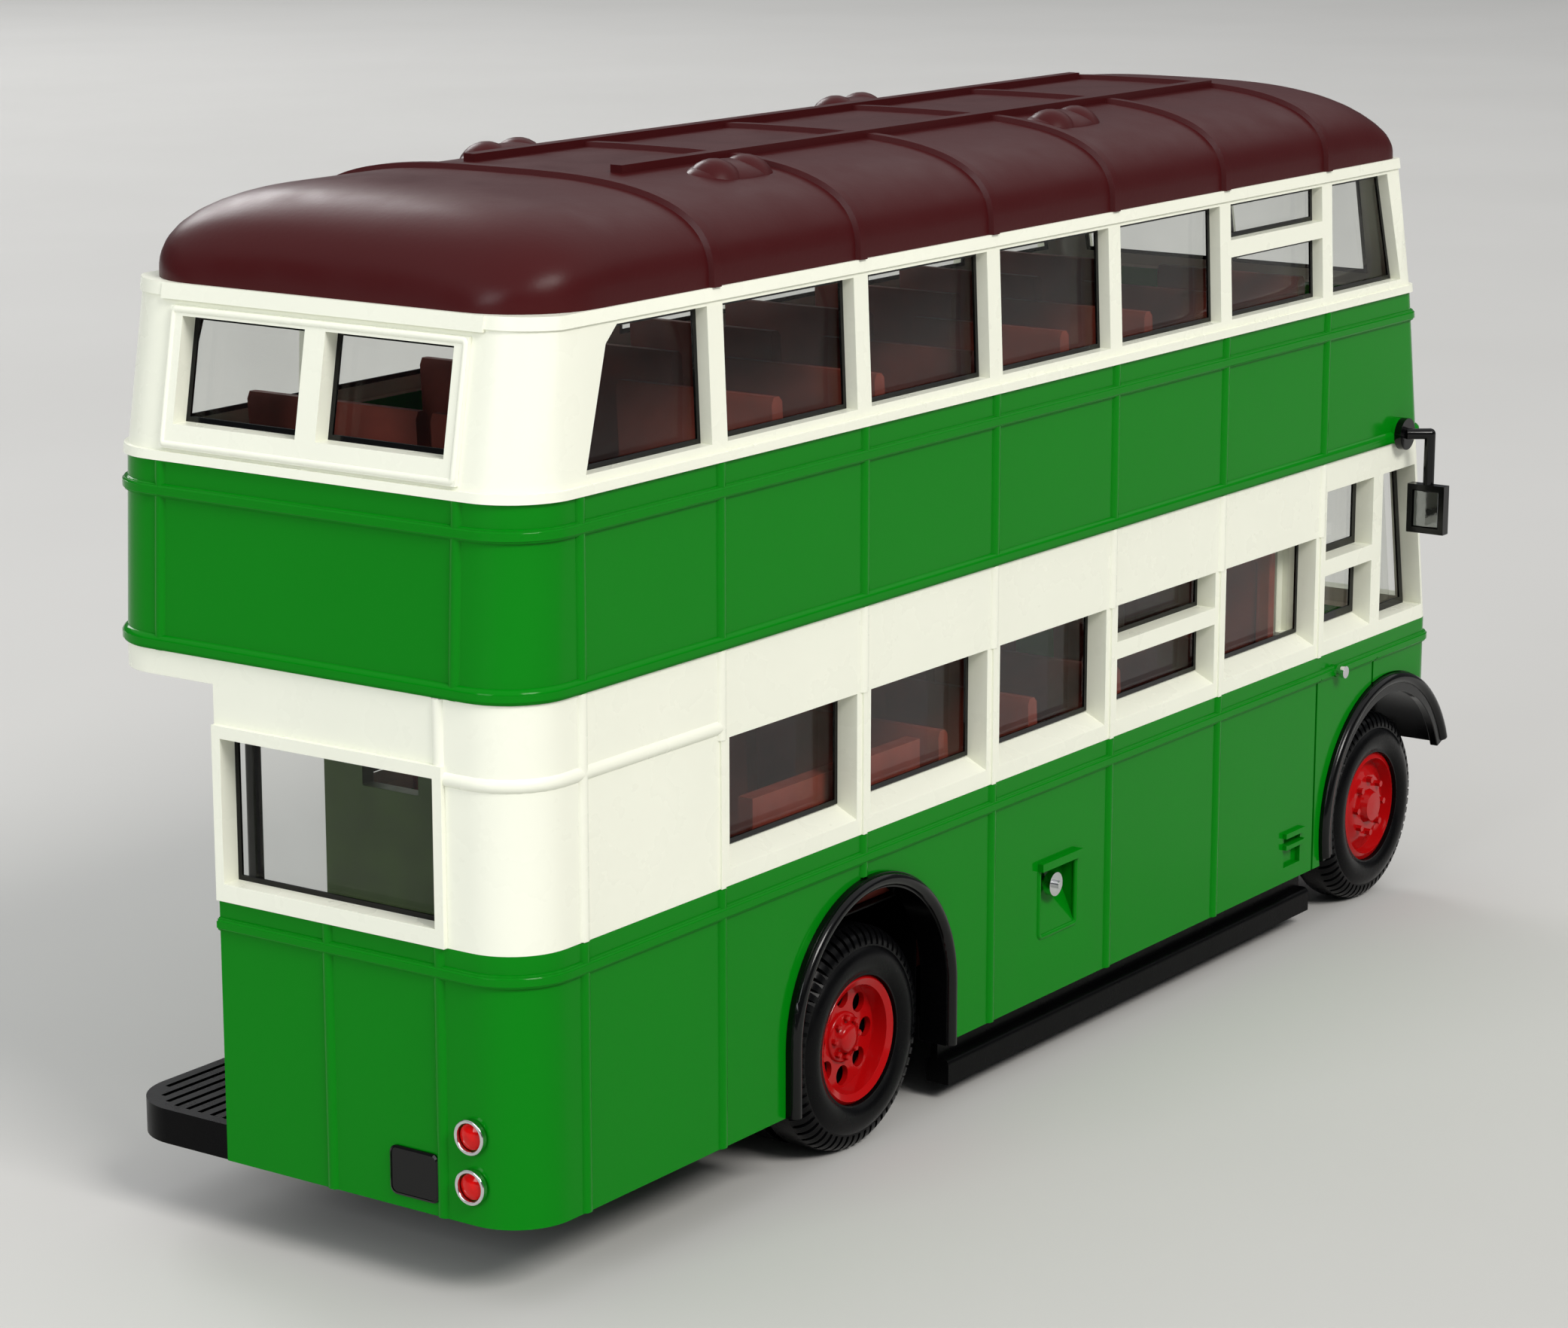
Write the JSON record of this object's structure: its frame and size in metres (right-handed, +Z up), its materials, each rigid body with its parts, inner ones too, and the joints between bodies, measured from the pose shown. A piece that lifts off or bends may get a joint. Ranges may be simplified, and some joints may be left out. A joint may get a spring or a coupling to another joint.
{
  "type": "toy bus",
  "caption": "Die-cast scale model of a half-cab double-deck bus with an open rear platform, a glazed and seated interior, and wheels that roll freely.",
  "frame": {"origin": "on the ground under the tyres, at the middle of the whole model's box", "axes": "+X towards the front of the bus, +Y towards its nearside (the platform side), +Z up"},
  "size_m": [0.106, 0.036, 0.058],
  "materials": {
    "maroon_paint": "satin",
    "cream_paint": "gloss",
    "green_paint": "gloss",
    "seat_plastic": "matte",
    "dark_green_plastic": "matte",
    "black_gloss": "gloss",
    "black_matte": "matte",
    "wheel_red": "gloss",
    "tyre_rubber": "matte",
    "bright_chrome": "polished",
    "screw_steel": "satin",
    "clear_glazing": "clear",
    "lamp_clear": "clear",
    "lamp_red": "tinted",
    "mirror_silver": "polished"
  },
  "bodies": {
    "body": {"roof": "maroon_paint", "upper_window_casting": "cream_paint", "deck_band_casting": "green_paint", "lower_window_casting": "cream_paint", "lower_panel_casting": "green_paint", "upper_glazing": "clear_glazing", "lower_glazing": "clear_glazing", "rear_window_glass": "clear_glazing", "cab_glazing": "clear_glazing", "upper_deck_seating": "seat_plastic", "lower_deck_seating": "seat_plastic", "rear_bulkhead": "dark_green_plastic", "staircase": "dark_green_plastic", "driver_seat": "seat_plastic", "steering_wheel": "black_gloss", "bonnet": "green_paint", "radiator_shell": "bright_chrome", "radiator_core": "black_matte", "chassis_base": "black_matte", "rear_platform": "black_matte", "platform_pole": "black_gloss", "side_rail_offside": "black_matte", "side_rail_nearside": "black_matte", "base_screws": "screw_steel", "rear_arch_offside": "black_gloss", "rear_arch_nearside": "black_gloss", "front_mudguard_offside": "black_gloss", "front_mudguard_nearside": "black_gloss", "headlamp_shells": "bright_chrome", "headlamp_lenses": "lamp_clear", "tail_lamp_rings": "bright_chrome", "tail_lamp_lenses": "lamp_red", "mirror_arm_offside": "black_gloss", "mirror_arm_nearside": "black_gloss", "mirror_glass_offside": "mirror_silver", "mirror_glass_nearside": "mirror_silver", "fuel_filler_cap": "bright_chrome", "cab_door_handle": "bright_chrome"},
    "front_axle_set": {"front_axle": "screw_steel", "front_wheel_offside": "wheel_red", "front_wheel_nearside": "wheel_red", "front_tyre_offside": "tyre_rubber", "front_tyre_nearside": "tyre_rubber"},
    "rear_axle_set": {"rear_axle": "screw_steel", "rear_wheel_offside": "wheel_red", "rear_wheel_nearside": "wheel_red", "rear_tyre_offside": "tyre_rubber", "rear_tyre_nearside": "tyre_rubber"}
  },
  "joints": [
    {"name": "front_axle_spin", "type": "hinge", "parent": "body", "child": "front_axle_set", "pos_m": [0.04344, 0, 0.0067], "axis": [0, 1, 0], "continuous": true},
    {"name": "rear_axle_spin", "type": "hinge", "parent": "body", "child": "rear_axle_set", "pos_m": [-0.02086, 0, 0.0067], "axis": [0, 1, 0], "continuous": true}
  ]
}
